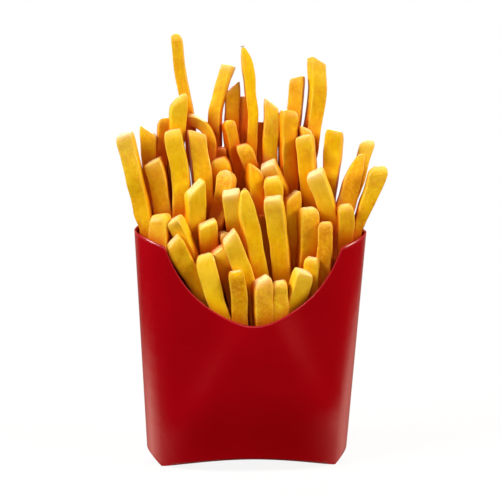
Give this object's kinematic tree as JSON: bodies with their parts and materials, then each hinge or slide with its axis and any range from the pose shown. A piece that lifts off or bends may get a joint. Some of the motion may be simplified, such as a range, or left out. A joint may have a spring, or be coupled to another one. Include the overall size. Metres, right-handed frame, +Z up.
{
  "type": "french fries in a carton",
  "caption": "Golden french fries heaped upright in a flat red paperboard carton with a scooped front.",
  "frame": {"origin": "centre of the whole object's box in X and Y, at the surface that the carton stands on", "axes": "+Z up, +X to the right across the carton's width as its scooped front is looked at, +Y from the front to the back"},
  "size_m": [0.1136, 0.0474, 0.1813],
  "materials": {
    "red_board": "coated red board, satin",
    "fried_potato": "golden fried, lightly oily"
  },
  "bodies": {
    "root": {"carton": "red_board", "fries": "fried_potato"}
  },
  "joints": []
}
